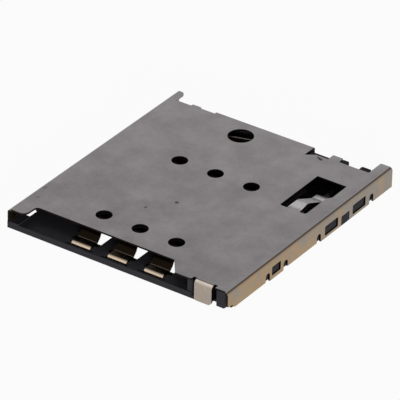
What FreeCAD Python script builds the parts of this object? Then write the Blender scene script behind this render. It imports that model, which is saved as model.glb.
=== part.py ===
import FreeCAD, Part
import math
import os

# Push-push socket for a micro SIM card, for soldering flat on a circuit board.
# Frame: X runs to the right along the mouth, Y from the mouth to the back, Z up from the board.
# Origin: the middle of the footprint, on the board. All sizes in millimetres.
# The slider stands as it does with no card in, at the front end of its travel.

V = FreeCAD.Vector

# The card that the socket takes
card_width = 12.00
card_length = 15.00
card_thickness = 0.76
card_corner = 2.50
card_side_room = 0.175
card_headroom = 0.04
card_inset = 0.42
contact_pitch_x = 2.54
contact_pitch_y = 7.62
contact_offset_x = 1.075
first_row_inset = 2.38

# Wall thicknesses and heights
sheet = 0.12
bend_radius = 0.10
tight_bend_radius = 0.04
floor_thickness = 0.38
channel_floor = 0.20
under_deck = 0.12
clearance = 0.04
fine_clearance = 0.02
slide_room = 0.04

# Widths across the socket, from left to right
corner_lip = 0.11
guide_width = 0.30
channel_width = 2.10
side_wall = 0.32
shell_gap = 0.06

# Lengths from front to back
travel = 3.50
locked_travel = 3.20
back_room = 0.055
back_wall = 0.53
back_gap = 0.035
ear_reach = 0.69
bar_setback = 0.12
flange_setback = 0.08
plate_setback = 0.12

# Small amounts used all over: joints between fused pieces, cutters reaching past a face, the
# largest share of an edge that two roundings may take, and how near two points count as one
overlap = 0.01
beyond = 1.00
round_share = 0.98
coincident = 1e-6

# Derived frame of the socket
card_space = card_thickness + card_headroom
slot_width = card_width + 2 * card_side_room
height = floor_thickness + card_space + sheet
under_shell = height - sheet
overall_width = corner_lip + sheet + slot_width + guide_width + channel_width + side_wall + shell_gap + sheet
overtravel = travel - locked_travel
overall_length = card_inset + card_length + overtravel + back_room + back_wall + back_gap + sheet + ear_reach

left = -overall_width / 2
right = overall_width / 2
front = -overall_length / 2
back = overall_length / 2

shell_left = left + corner_lip
slot_left = shell_left + sheet
slot_right = slot_left + slot_width
channel_left = slot_right + guide_width
channel_right = channel_left + channel_width
wall_right = channel_right + side_wall
shell_inner_right = right - sheet

bar_front = front + bar_setback
card_front = front + card_inset
card_back = card_front + card_length
wall_front = card_back + overtravel + back_room
wall_back = wall_front + back_wall
shell_back = wall_back + back_gap + sheet

middle_column = (slot_left + slot_right) / 2 + contact_offset_x
columns = [middle_column - contact_pitch_x, middle_column, middle_column + contact_pitch_x]
rows = [card_front + first_row_inset, card_front + first_row_inset + contact_pitch_y]

# Contact springs, all measured from the middle of the contact point
contact_sheet = 0.12
contact_width = 1.30
dome_width = 0.90
tail_width = 2.16
tail_front = 2.10
tail_back = 1.25
tail_setback = 0.20
neck_front = 0.30
neck_back = 0.50
hairpin_radius = 0.16
ramp_foot = 1.60
ramp_head = 0.98
ramp_head_height = 0.98
dome_height = 1.05
tip_reach = 0.80
tip_height = 0.72
window_half_width = 0.94
window_front = 2.42
window_back = 1.10
hairpin_gap = 0.06
bar_bevel_length = 0.15
bar_bevel_depth = 0.16

# Shell: holes and mouth
contact_hole = 1.00
switch_hole = 1.60
switch_hole_left = 1.25
switch_hole_back = 1.56
recess_depth = 1.09
recess_left = 1.20
recess_right = 1.60
recess_left_round = 0.25
recess_slope = 0.80
corner_tab_width = 1.165
corner_tab_round = 0.40
edge_round = 0.05
mouth_round = 0.12
flange_width = 1.18
flange_left = 0.245
flange_notch = 0.23
flange_notch_depth = 0.28
flange_bend = 0.065
flange_left_round = 0.13
flange_right_round = 0.27

# Shell: side walls
wall_bottom = 0.09
wall_chamfer_height = 0.42
wall_chamfer_length = 0.75
wall_chip_start = 0.24
wall_chip_width = 0.25
wall_chip_height = 0.36
relief_width = 0.42
relief_height = 0.60
tab_front = 4.25
tab_length = 1.40
tab_window_front = 0.20
tab_window_back = 0.30
tab_window_bottom = 0.25
tab_window_top = 0.82
long_tab_front = 9.52
long_tab_length = 5.16
long_window_rim = 0.42
long_window_length = 1.38
long_window_bottom = 0.17
long_window_top = 0.79
open_notch_length = 0.85
open_notch_top = 0.62
window_corner = 0.08

# Shell: rear edge
ear_left_width = 0.57
ear_left_round = 0.28
ear_right_width = 0.82
ear_right_round = 0.12
rear_fold_start = 3.37
rear_fold_length = 7.00
rear_fold_bottom = 0.30
rear_edge_drop = 0.33
rear_step_drop = 0.28
rear_tab_drop = 0.16
rear_mid_drop = 0.745
rear_low_drop = 0.64
rear_step_width = 1.00
rear_step_slant = 0.05
rear_bump_width = 0.60
rear_ear_slant = 0.25
rear_ear_drop = 0.08
rear_tab_start = 11.77
rear_tab_width = 0.70
rear_slot_width = 0.54
rear_slot_depth = 0.38

# Shell: spring tongue over the follower
tongue_width = 1.08
tongue_left_slot = 0.30
tongue_right_slot = 0.42
cutout_front = 9.73
cutout_length = 4.00
cutout_left = 0.07
cutout_step = 0.23
cutout_step_start = 2.16
cutout_step_end = 2.48
cutout_left_round = 0.14
cutout_right_round = 0.18
tongue_root = 0.18
tongue_flat = 1.15
tongue_sag = 0.10
tongue_reach = 2.40
tongue_foot = 0.55
tongue_bend = 0.80
tongue_clearance = 0.01

# Slider and its cam track
slider_gap = 0.06
nose_length = 1.07
nose_clearance = 0.055
deck_top = 0.35
deck_length = 4.80
bridge_length = 0.88
track_floor = 0.22
track_width = 0.32
track_swing = 0.27
lock_offset = 0.03
lock_catch = 0.06
spring_wall = 0.16
arm_contact_gap = 0.04
arm_round = 0.06
arm_link_left = 0.54
arm_link_length = 2.15
arm_guide_side = 0.25
core_depth = 0.50
core_rim = 0.55
core_front = 0.30
core_round = 0.12

# Follower, a stamped link with both ends turned down
follower_width = 0.34
follower_sheet = 0.13
follower_gap = 0.01
pin_radius = 0.10
pin_clearance = 0.03
follower_length = 4.80
pivot_back = 0.65
pivot_depth = 0.19
pivot_side = 0.20

# Ejection spring
spring_radius = 0.36
spring_wire = 0.11
spring_turns = 12
spring_nub_radius = 0.20
spring_nub_length = 0.60
spring_wall_gap = 0.04

# Card-detect switch
leaf_sheet = 0.10
leaf_height = 0.52
leaf_bottom = 0.46
leaf_root = 1.30
leaf_setback = 0.22
leaf_straight = 1.42
leaf_slant_x = 2.75
leaf_slant_y = 0.865
leaf_nose_x = 0.45
leaf_nose_y = 0.35
leaf_bend = 0.20
switch_block = 0.90
switch_block_side = 0.35
switch_block_depth = 0.45
terminal_left = 0.90
terminal_right = 0.50
terminal_tail_width = 1.00
terminal_tail_reach = 0.06

# Housing details
post_setback = 0.30
guide_setback = 0.20
right_post_width = 0.80
right_post_length = 0.98
right_post_chamfer = 0.28
guide_length = 6.40
bar_end_gap = 0.02
nose_opening = 0.635
lip_length = 1.14
lip_width = 0.80
lip_height = 0.44
floor_notch_width = 0.44
floor_notch_length = 1.17
floor_notch_setback = 0.095
boss_gap = 0.10
boss_recess = 0.07
boss_slope = 0.90
deck_room = 0.06
pivot_block_length = 1.18
low_wall_reach = 0.10
rear_block_setback = 0.21
rear_block_left_width = 0.46
rear_block_right_width = 0.66
rear_block_right_gap = 0.06
rear_block_round = 0.10
rear_shelf_setback = 0.355
rear_pocket_width = 0.60
rear_pocket_bottom = 0.60
rear_pocket_wall = 0.12


def outline(points):
    """Closed face in XY from corners (x, y) or (x, y, r), where r rounds that corner."""
    count = len(points)
    corners = [V(point[0], point[1], 0) for point in points]
    radii = [point[2] if len(point) > 2 else 0 for point in points]
    starts, ends, mids = [], [], []
    for i in range(count):
        here, before, after = corners[i], corners[i - 1], corners[(i + 1) % count]
        if radii[i] == 0:
            starts.append(here)
            ends.append(here)
            mids.append(None)
            continue
        to_before = (before - here).normalize()
        to_after = (after - here).normalize()
        half = to_before.getAngle(to_after) / 2
        reach = radii[i] / math.tan(half)
        starts.append(here + to_before * reach)
        ends.append(here + to_after * reach)
        middle = (to_before + to_after).normalize()
        mids.append(here + middle * (radii[i] / math.sin(half) - radii[i]))
    edges = []
    for i in range(count):
        if mids[i] is not None:
            edges.append(Part.Arc(starts[i], mids[i], ends[i]).toShape())
        following = starts[(i + 1) % count]
        if ends[i].distanceToPoint(following) > coincident:
            edges.append(Part.LineSegment(ends[i], following).toShape())
    return Part.Face(Part.Wire(edges))


def strip(points, thickness, radius):
    """Face of a bent strip: a line through the points, its bends rounded, thickened both ways."""
    path = [V(point[0], point[1], 0) for point in points]
    count = len(path)
    directions = [(path[i + 1] - path[i]).normalize() for i in range(count - 1)]
    sides = {1: [], -1: []}
    for side in sides:
        shift = side * thickness / 2
        at = path[0] + normal_of(directions[0]) * shift
        for i in range(1, count - 1):
            into, out = directions[i - 1], directions[i]
            turn = math.atan2(into.cross(out).z, into.dot(out))
            bend = radius if turn > 0 else -radius
            reach = radius * math.tan(abs(turn) / 2)
            centre = path[i] - into * reach + normal_of(into) * bend
            ray = radius - shift if turn > 0 else radius + shift
            first = path[i] - into * reach + normal_of(into) * shift
            last = path[i] + out * reach + normal_of(out) * shift
            outward = (path[i] - centre).normalize()
            sides[side] += straight(at, first)
            sides[side].append(Part.Arc(first, centre + outward * ray, last).toShape())
            at = last
        end = path[-1] + normal_of(directions[-1]) * shift
        sides[side] += straight(at, end)
    starts = [sides[side][0].Vertexes[0].Point for side in (1, -1)]
    ends = [sides[side][-1].Vertexes[-1].Point for side in (1, -1)]
    caps = [Part.LineSegment(ends[0], ends[1]).toShape(), Part.LineSegment(starts[1], starts[0]).toShape()]
    wire = Part.Wire(sides[1] + [caps[0]] + sides[-1][::-1] + [caps[1]])
    return Part.Face(wire)


def straight(start, end):
    """A straight edge, or nothing where an arc already reaches the next point."""
    if start.distanceToPoint(end) < coincident:
        return []
    return [Part.LineSegment(start, end).toShape()]


def normal_of(direction):
    """The direction turned a quarter to the left, in XY."""
    return V(-direction.y, direction.x, 0)


def stand_in_yz(face, x_from, width):
    """A face drawn in (y, z) stood up and given its width along X."""
    turned = face.copy()
    turned.transformShape(FreeCAD.Matrix(0, 0, 1, 0, 1, 0, 0, 0, 0, 1, 0, 0, 0, 0, 0, 1))
    turned.translate(V(x_from, 0, 0))
    return turned.extrude(V(width, 0, 0))


def stand_in_xz(face, y_from, length):
    """A face drawn in (x, z) stood up and given its length along Y."""
    turned = face.copy()
    turned.transformShape(FreeCAD.Matrix(1, 0, 0, 0, 0, 0, 1, 0, 0, 1, 0, 0, 0, 0, 0, 1))
    turned.translate(V(0, y_from, 0))
    return turned.extrude(V(0, length, 0))


def raise_face(face, bottom, top):
    """A face drawn in (x, y) given its height between two levels."""
    lifted = face.copy()
    lifted.translate(V(0, 0, bottom))
    return lifted.extrude(V(0, 0, top - bottom))


def box(x1, x2, y1, y2, z1, z2):
    return Part.makeBox(x2 - x1, y2 - y1, z2 - z1, V(x1, y1, z1))


def post(x, y, z1, z2, radius):
    return Part.makeCylinder(radius, z2 - z1, V(x, y, z1))


def joined(shapes):
    """One solid from touching or overlapping shapes."""
    whole = shapes[0].fuse(shapes[1:]) if len(shapes) > 1 else shapes[0]
    return whole.removeSplitter()


def save(name, shape):
    solids = shape.Solids
    solid = solids[0] if len(solids) == 1 else Part.makeCompound(solids)
    solid.exportStep(os.path.join("parts", name + ".step"))
    state = "valid" if solid.isValid() else "NOT VALID"
    print(name, len(solids), "solid,", round(solid.Volume, 4), "mm3,", state)


# Places along the side walls, measured back from the front plane
tab_start = front + tab_front
tab_end = tab_start + tab_length
tab_window_start = tab_start + tab_window_front
tab_window_end = tab_end - tab_window_back
long_start = front + long_tab_front
long_end = long_start + long_tab_length
first_long_window = long_start + long_window_rim
second_long_window = long_end - long_window_rim - long_window_length
notch_middle = (first_long_window + long_window_length + second_long_window) / 2
notch_start = notch_middle - open_notch_length / 2

# Places of the front flange and of the notch in the floor's left corner
flange_start = channel_left + flange_left
flange_end = flange_start + flange_width
floor_left = slot_left + clearance
floor_notch_start = bar_front + lip_length + floor_notch_setback
floor_notch_end = floor_notch_start + floor_notch_length

# Places along the rear edge
rear_low = shell_back - rear_low_drop
fold_left = shell_left + rear_fold_start
fold_right = fold_left + rear_fold_length
rear_tab = shell_left + rear_tab_start
rear_tab_end = rear_tab + rear_tab_width

# Places of the tongue and of the follower under it
cutout_x = channel_left - slider_gap - tongue_left_slot - cutout_left
tongue_x = cutout_x + tongue_left_slot
cutout_right = tongue_x + tongue_width + tongue_right_slot + cutout_step
cutout_y = front + cutout_front
tongue_middle = tongue_x + tongue_width / 2
follower_bottom = deck_top + follower_gap
follower_top = follower_bottom + follower_sheet
deck_width = channel_width - 2 * spring_radius - spring_wall - spring_wall_gap
pivot_x = channel_left + slider_gap + deck_width / 4 + pivot_side
pivot_y = wall_front - pivot_back
pin_y = pivot_y - follower_length

# Places along the slider
slider_left = channel_left + slider_gap
slider_right = channel_right - slider_gap
slider_front = front + flange_setback + sheet + nose_clearance
spring_x = channel_right - spring_wall_gap - spring_radius
spring_side = spring_x - spring_radius - spring_wall_gap
spring_z = channel_floor + spring_wall_gap + spring_radius + clearance
arm_back = wall_front - back_room / 2 - travel
arm_front = arm_back - arm_link_length
arm_left = channel_left - arm_link_left
deck_back = arm_front + bridge_length
body_back = deck_back - deck_length
deck_bottom = under_deck + fine_clearance

# Places of the card-detect switch
leaf_right = middle_column + leaf_root
leaf_tip_x = leaf_right - leaf_straight - leaf_slant_x


def side_wall_cuts(inner, outer):
    """Relief notches, windows and the open notch of a side wall between two X places."""
    cuts = []
    for edge, direction in ((tab_start, -1), (tab_end, 1), (long_start, -1), (long_end, 1)):
        near = edge if direction > 0 else edge - relief_width
        far = near + relief_width
        radius = relief_width / 2 * round_share
        relief = outline([(near, -beyond), (far, -beyond), (far, relief_height, radius),
                          (near, relief_height, radius)])
        cuts.append(stand_in_yz(relief, inner, outer - inner))
    windows = [(tab_window_start, tab_window_end, tab_window_bottom, tab_window_top)]
    for start in (first_long_window, second_long_window):
        windows.append((start, start + long_window_length, long_window_bottom, long_window_top))
    for start, end, low, high in windows:
        opening = outline([(start, low, window_corner), (end, low, window_corner),
                           (end, high, window_corner), (start, high, window_corner)])
        cuts.append(stand_in_yz(opening, inner, outer - inner))
    open_notch = outline([(notch_start, -beyond), (notch_start + open_notch_length, -beyond),
                          (notch_start + open_notch_length, open_notch_top, window_corner),
                          (notch_start, open_notch_top, window_corner)])
    cuts.append(stand_in_yz(open_notch, inner, outer - inner))
    return cuts


def side_wall_trim(inner, outer):
    """What is cut from a side wall's lower edge, ahead of its solder tabs and between them."""
    stretches = [(front - beyond, tab_start), (tab_end, long_start)]
    return [box(inner, outer, start, end, -beyond, wall_bottom) for start, end in stretches]


def right_wall_front(inner, outer):
    """Sloped lower front corner of the right wall, with the small chip behind it."""
    chip_start = front + wall_chip_start
    slope = outline([(front - beyond, -beyond), (front + wall_chamfer_length, -beyond),
                     (front + wall_chamfer_length, wall_bottom), (front, wall_chamfer_height),
                     (front - beyond, wall_chamfer_height)])
    chip = outline([(chip_start, -beyond), (chip_start + wall_chip_width, -beyond),
                    (chip_start + wall_chip_width, wall_chip_height, edge_round),
                    (chip_start, wall_chip_height, edge_round)])
    return [stand_in_yz(slope, inner, outer - inner), stand_in_yz(chip, inner, outer - inner)]


def left_wall_front(inner, outer):
    """Room under the left wall's front for the housing's lip and the floor's notch."""
    end = floor_notch_end + shell_gap
    return [box(inner, outer, front - beyond, end, -beyond, lip_height + clearance)]


def make_plate():
    """Flat top of the shell, up to the bends, with its mouth recess and its stepped rear edge."""
    left_bend = tight_bend_radius + sheet
    right_bend = bend_radius + sheet
    plate_front = front + plate_setback
    recess_y = plate_front + recess_depth
    corner_end = shell_left + corner_tab_width
    recess_end = slot_right - recess_right
    notch_back = plate_front + flange_notch_depth
    notch_left = flange_start - flange_notch
    notch_right = flange_end + flange_notch
    rear_edge = shell_back - rear_edge_drop
    rear_step = shell_back - rear_step_drop
    rear_tab_edge = shell_back - rear_tab_drop
    rear_mid = shell_back - rear_mid_drop
    fold_bend = shell_back - tight_bend_radius - sheet
    bump_right = fold_left - rear_step_width - rear_step_slant
    bump_left = bump_right - rear_bump_width
    ear_left = shell_left + ear_left_width
    ear_right = right - ear_right_width
    mouth = [
        (shell_left + left_bend, plate_front),
        (corner_end, plate_front, corner_tab_round),
        (shell_left + recess_left, recess_y, recess_left_round),
        (recess_end, recess_y, mouth_round),
        (recess_end + recess_slope, plate_front, mouth_round),
        (notch_left, plate_front, mouth_round),
        (notch_left, notch_back),
        (notch_right, notch_back),
        (notch_right, plate_front),
        (right - right_bend, plate_front),
    ]
    rear = [
        (right - right_bend, back),
        (ear_right, back, ear_right_round),
        (ear_right, rear_low, edge_round),
        (rear_tab_end, rear_low, edge_round),
        (rear_tab_end, rear_tab_edge, edge_round),
        (rear_tab, rear_tab_edge, edge_round),
        (rear_tab, rear_mid, edge_round),
        (fold_right + rear_slot_width, rear_mid),
        (fold_right, rear_mid - rear_slot_depth),
        (fold_right, fold_bend),
        (fold_left, fold_bend),
        (fold_left, rear_step),
        (fold_left - rear_step_width, rear_step),
        (bump_right, rear_tab_edge, edge_round),
        (bump_left, rear_tab_edge, edge_round),
        (bump_left - rear_step_slant, rear_edge),
        (ear_left + rear_ear_slant, rear_edge, edge_round),
        (ear_left + rear_ear_slant / 2, rear_edge - rear_ear_drop, edge_round / 2),
        (ear_left, rear_edge - rear_ear_drop, edge_round),
        (ear_left, back, ear_left_round),
        (shell_left + left_bend, back),
    ]
    return raise_face(outline(mouth + rear), under_shell, height)


def make_side(outer, direction, inner_radius):
    """Side wall and its bend. direction is +1 at the right side and -1 at the left."""
    centre = sheet / 2
    path = [(outer - direction * (inner_radius + sheet), height - centre),
            (outer - direction * centre, height - centre),
            (outer - direction * centre, 0)]
    return stand_in_xz(strip(path, sheet, inner_radius + centre), front, overall_length)


def make_flange():
    """Front flange: folded down ahead of the slider, down to the board."""
    centre = sheet / 2
    face_y = front + flange_setback + centre
    radius = bend_radius + centre + flange_bend
    root = front + plate_setback + flange_notch_depth + overlap
    path = [(root, height - centre), (face_y, height - centre), (face_y, 0)]
    flange = stand_in_yz(strip(path, sheet, radius), flange_start, flange_width)
    above = height + beyond
    rounded = outline([(flange_start, 0, flange_left_round), (flange_end, 0, flange_right_round),
                       (flange_end, above), (flange_start, above)])
    return flange.common(stand_in_xz(rounded, front - beyond, 3 * beyond))


def make_rear_fold():
    """Rear wall of the shell, folded down behind the housing."""
    centre = sheet / 2
    face_y = shell_back - centre
    path = [(shell_back - sheet - tight_bend_radius, height - centre), (face_y, height - centre),
            (face_y, rear_fold_bottom)]
    folded = strip(path, sheet, tight_bend_radius + centre)
    return stand_in_yz(folded, fold_left, rear_fold_length)


def make_tongue():
    """Spring tongue, bent down from the front edge of its cut-out to lie along the follower."""
    level = height - sheet / 2
    foot_level = follower_top + tongue_clearance + sheet / 2
    foot_y = cutout_y + tongue_reach
    path = [(cutout_y - tongue_root, level), (cutout_y, level), (cutout_y + tongue_flat, level - tongue_sag),
            (foot_y, foot_level), (foot_y + tongue_foot, foot_level)]
    return stand_in_yz(strip(path, sheet, tongue_bend), tongue_x, tongue_width)


def make_cutout():
    """Hole around the tongue, with a step near the tongue's tip."""
    end = cutout_y + cutout_length
    step = cutout_right - cutout_step
    points = [(cutout_x, cutout_y, cutout_left_round), (step, cutout_y, cutout_right_round),
              (step, cutout_y + cutout_step_start), (cutout_right, cutout_y + cutout_step_end),
              (cutout_right, end, edge_round), (cutout_x, end, edge_round)]
    return raise_face(outline(points), under_shell - beyond, height + beyond)


def make_shell():
    """The whole folded sheet."""
    plate = make_plate()
    for x in columns:
        for y in rows:
            plate = plate.cut(post(x, y, under_shell - beyond, height + beyond, contact_hole / 2))
    hole_y = shell_back - switch_hole_back
    hole_x = middle_column - switch_hole_left
    hole = post(hole_x, hole_y, under_shell - beyond, height + beyond, switch_hole / 2)
    plate = plate.cut([hole, make_cutout()])
    shell = joined([plate, make_side(right, 1, bend_radius), make_side(shell_left, -1, tight_bend_radius),
                    make_flange(), make_rear_fold(), make_tongue()])
    right_wall = (shell_inner_right - overlap, right + overlap)
    left_wall = (shell_left - overlap, slot_left + overlap)
    cuts = right_wall_front(*right_wall) + left_wall_front(*left_wall)
    for inner, outer in (right_wall, left_wall):
        cuts += side_wall_cuts(inner, outer) + side_wall_trim(inner, outer)
    return shell.cut(cuts).removeSplitter()


def contact_profile():
    """Side view of a contact: tail on the board, hairpin, ramp, dome and falling tip, in (y, z)."""
    half = contact_sheet / 2
    top = half + 2 * hairpin_radius
    turn = -tail_front - hairpin_radius
    return [(-tail_back, half), (turn, half), (turn, top), (-ramp_foot, top), (-ramp_head, ramp_head_height),
            (0, dome_height), (tip_reach, tip_height)]


def make_contact(x, y):
    """One contact spring at its contact point, wide at the tail and narrow at the dome."""
    profile = strip(contact_profile(), contact_sheet, hairpin_radius * round_share)
    whole = stand_in_yz(profile, -contact_width / 2, contact_width)
    half, slim = contact_width / 2, dome_width / 2
    wide_end, slim_start, end = -ramp_head - neck_front, -ramp_head + neck_back, tip_reach + beyond
    plan = outline([(-half, -window_front), (half, -window_front), (half, wide_end), (slim, slim_start),
                    (slim, end), (-slim, end), (-slim, slim_start), (-half, wide_end)])
    spring = whole.common(raise_face(plan, -beyond, height))
    tail = box(-tail_width / 2, tail_width / 2, tail_setback - tail_front, -tail_back, 0, contact_sheet)
    contact = joined([spring, tail])
    contact.translate(V(x, y, 0))
    return contact


def boss(outer, inner, start, end, low, high):
    """Latch boss on the housing's side, with a sloped top for the shell to snap over."""
    slope = abs(outer - inner) * boss_slope
    face = outline([(inner, low), (outer, low), (outer, high - slope), (inner, high)])
    return stand_in_xz(face, start, end - start)


def make_bosses(outer_face, inner_face, direction):
    """The bosses in one side wall's windows. The notch boss stands flush with the shell."""
    recessed = outer_face - direction * boss_recess
    bosses = [boss(recessed, inner_face, tab_window_start + boss_gap, tab_window_end - boss_gap,
                   tab_window_bottom + shell_gap, tab_window_top - shell_gap)]
    for start in (first_long_window, second_long_window):
        bosses.append(boss(recessed, inner_face, start + boss_gap, start + long_window_length - boss_gap,
                           long_window_bottom + shell_gap, long_window_top - shell_gap))
    bosses.append(box(min(outer_face, inner_face), max(outer_face, inner_face), notch_start + clearance,
                      notch_start + open_notch_length - clearance, 0, open_notch_top - clearance))
    return bosses


def make_floor():
    """Floor with the front bar, thin under the slider and thinner still under its deck."""
    post_back = bar_front + right_post_length
    post_left = wall_right - right_post_width
    pivot_front = wall_front - pivot_block_length
    slab = box(floor_left, wall_right, bar_front, wall_front + overlap, 0, floor_thickness)
    thin = box(channel_left, channel_right, post_back, wall_front, channel_floor, height)
    nose_pocket = box(channel_left, post_left + overlap, bar_front - beyond, post_back + overlap,
                      channel_floor, height)
    bar_end = box(flange_start - bar_end_gap, wall_right + beyond, bar_front - beyond, front + nose_opening,
                  -beyond, height)
    deck_slot = box(slider_left - deck_room, spring_side + deck_room, body_back - overlap - deck_room,
                    pivot_front, under_deck, height)
    arm_slot = box(arm_left - deck_room, spring_side, arm_front - deck_room, wall_front, under_deck, height)
    pivot_block = box(channel_left, spring_side + deck_room, pivot_front, wall_front, 0, deck_top)
    notch = box(floor_left - overlap, floor_left + floor_notch_width, floor_notch_start, floor_notch_end,
                -beyond, height)
    return slab.cut([thin, nose_pocket, bar_end, deck_slot, arm_slot, notch]).fuse(pivot_block)


def cut_windows(body):
    """Window under each contact, with a throat for its hairpin, a pocket for its tail and a bevel ahead."""
    hairpin_side = contact_width / 2 + hairpin_gap
    for x in columns:
        for y in rows:
            left_side, width = x - window_half_width, 2 * window_half_width
            edge = y - window_front
            tail_edge = y + tail_setback - tail_front
            window = box(left_side, left_side + width, tail_edge, y + window_back, -beyond, height)
            throat = box(x - hairpin_side, x + hairpin_side, edge, tail_edge + overlap, -beyond, height)
            tail = box(x - tail_width / 2, x + tail_width / 2, tail_edge, y - tail_back, -overlap,
                       contact_sheet)
            bevel = outline([(edge - bar_bevel_length, floor_thickness + overlap),
                             (edge + overlap, floor_thickness - bar_bevel_depth),
                             (edge + overlap, floor_thickness + overlap)])
            body = body.cut([window, throat, tail, stand_in_yz(bevel, left_side, width)])
    return body


def make_housing():
    """The moulded base."""
    top = under_shell - clearance
    post_front = front + post_setback
    post_left = wall_right - right_post_width
    chamfer = right_post_chamfer
    post_plan = outline([(post_left, 0), (wall_right - chamfer, 0), (wall_right, chamfer), (wall_right, top),
                         (post_left, top)])
    pieces = [
        make_floor(),
        box(slot_right, channel_left, front + guide_setback, front + guide_setback + guide_length, 0, top),
        stand_in_xz(post_plan, post_front, bar_front + right_post_length - post_front),
        box(channel_right, wall_right, bar_front + right_post_length - overlap, wall_back, 0, top),
        box(left, left + lip_width, bar_front, bar_front + lip_length, 0, lip_height),
    ]
    pieces += make_back_wall()
    pieces += make_bosses(right, wall_right - overlap, 1)
    pieces += make_bosses(shell_left, slot_left + clearance + overlap, -1)
    housing = cut_windows(joined(pieces))
    nub_foot = V(spring_x, wall_front + overlap, spring_z)
    nub = Part.makeCylinder(spring_nub_radius, spring_nub_length + overlap, nub_foot, V(0, -1, 0))
    hole = post(pivot_x, pivot_y, deck_top - pivot_depth, height, pin_radius + pin_clearance)
    return housing.fuse(nub).cut([hole, make_leaf(), make_terminal()]).removeSplitter()


def make_back_wall():
    """Rear wall, shallower right of the shell's fold, with a shelf and two blocks to the full height."""
    top = under_shell - clearance
    inner_back = shell_back - sheet - back_gap
    wall = box(floor_left, fold_right, wall_front, inner_back, 0, top)
    pocket = box(fold_right - rear_pocket_width, fold_right + overlap, wall_front - overlap,
                 inner_back - rear_pocket_wall, rear_pocket_bottom, height)
    shelf_back = shell_back - rear_shelf_setback
    pieces = [
        wall.cut(pocket),
        box(fold_right - overlap, wall_right, wall_front, rear_low + low_wall_reach, 0, top),
        box(fold_right - overlap, rear_tab, wall_front, shelf_back, 0, top),
    ]
    block_front, block_back = rear_low + shell_gap, shell_back - rear_block_setback
    right_block_x = right - ear_right_width - rear_block_right_gap - rear_block_right_width
    for start, width in ((rear_tab_end + fine_clearance, rear_block_left_width),
                         (right_block_x, rear_block_right_width)):
        plan = outline([(start, block_front), (start + width, block_front),
                        (start + width, block_back, rear_block_round), (start, block_back, rear_block_round)])
        pieces.append(raise_face(plan, 0, height - clearance))
    pieces.append(box(leaf_right - switch_block, leaf_right + switch_block_side,
                      wall_front - switch_block_depth, wall_front + overlap, 0, top))
    return pieces


def make_leaf():
    """Moving leaf of the card-detect switch: root held in its block, then slanted towards the card."""
    root_y = wall_front - leaf_setback
    bend_x = leaf_right - leaf_straight
    nose_y = root_y - leaf_slant_y
    path = [(leaf_right, root_y), (bend_x, root_y), (leaf_tip_x, nose_y),
            (leaf_tip_x - leaf_nose_x, nose_y + leaf_nose_y)]
    return raise_face(strip(path, leaf_sheet, leaf_bend), leaf_bottom, leaf_bottom + leaf_height)


def make_terminal():
    """Fixed half of the switch: a plate let into the rear wall behind the leaf's tip, with its tail."""
    plate_left = leaf_tip_x - terminal_left
    plate_front = wall_front - fine_clearance
    plate = box(plate_left, leaf_tip_x + terminal_right, plate_front, plate_front + leaf_sheet, 0,
                leaf_bottom + leaf_height)
    tail = box(plate_left, plate_left + terminal_tail_width, plate_front, shell_back + terminal_tail_reach, 0,
               leaf_sheet)
    return plate.fuse(tail).removeSplitter()


def lane(start, end):
    """A straight stretch of the cam track between two points, with round ends."""
    along = V(end[0] - start[0], end[1] - start[1], 0)
    side = normal_of(along).normalize() * (track_width / 2)
    corners = [V(*start, 0) + side, V(*end, 0) + side, V(*end, 0) - side, V(*start, 0) - side]
    ribbon = Part.Face(Part.makePolygon(corners + [corners[0]]))
    stretch = raise_face(ribbon, track_floor, height)
    ends = [post(point[0], point[1], track_floor, height, track_width / 2) for point in (start, end)]
    return stretch.fuse(ends)


def slider_arm(top):
    """Card arm that fills the card's cut corner, its tip just clear of the right-hand contact."""
    arm_right = tongue_x - clearance
    guide_x = channel_left - arm_guide_side
    tip_x = columns[-1] + dome_width / 2 + arm_contact_gap
    tip_y = arm_back - (tip_x - (slot_right - card_side_room - card_corner))
    guide_y = tip_y - (guide_x - tip_x)
    plan = outline([(tip_x, arm_back, arm_round), (tip_x, tip_y, arm_round), (guide_x, guide_y),
                    (arm_right, guide_y), (arm_right, arm_back, arm_round)])
    arm = raise_face(plan, floor_thickness + fine_clearance, top)
    link = box(arm_left, arm_right, arm_front, arm_back, deck_bottom, top)
    bridge = box(arm_left, slider_left + overlap, arm_front, deck_back, deck_bottom, deck_top)
    return [arm, link, bridge]


def make_slider():
    """Slider: nose and body in the channel, low deck with the heart-shaped track, and the card arm."""
    low = channel_floor + clearance
    top = under_shell - slide_room
    nose_back = slider_front + nose_length
    core_plan = outline([(slider_left + core_rim, nose_back + core_front, core_round),
                         (slider_right - core_rim, nose_back + core_front, core_round),
                         (slider_right - core_rim, body_back - core_rim, core_round),
                         (slider_left + core_rim, body_back - core_rim, core_round)])
    core = raise_face(core_plan, top - core_depth, height)
    body = box(slider_left, slider_right, nose_back, body_back, low, top).cut(core)
    wall_left = spring_side - spring_wall
    nub_foot = V(spring_x, body_back - overlap, spring_z)
    nub = Part.makeCylinder(spring_nub_radius, spring_nub_length, nub_foot, V(0, 1, 0))
    pieces = [
        box(slider_left, flange_end, slider_front, nose_back + overlap, low, top),
        body,
        box(slider_left, spring_side, body_back - overlap, deck_back, deck_bottom, deck_top),
        box(wall_left, spring_side, body_back - overlap, deck_back, deck_bottom, top),
        nub,
    ]
    slider = joined(pieces + slider_arm(top))
    corners = [
        (pivot_x, pin_y),
        (pivot_x + track_swing, pin_y - travel),
        (pivot_x - lock_offset, pin_y - locked_travel + lock_catch),
        (pivot_x - track_swing, pin_y - travel),
    ]
    track = [lane(start, end) for start, end in zip(corners, corners[1:] + corners[:1])]
    return slider.cut(track).removeSplitter()


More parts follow.
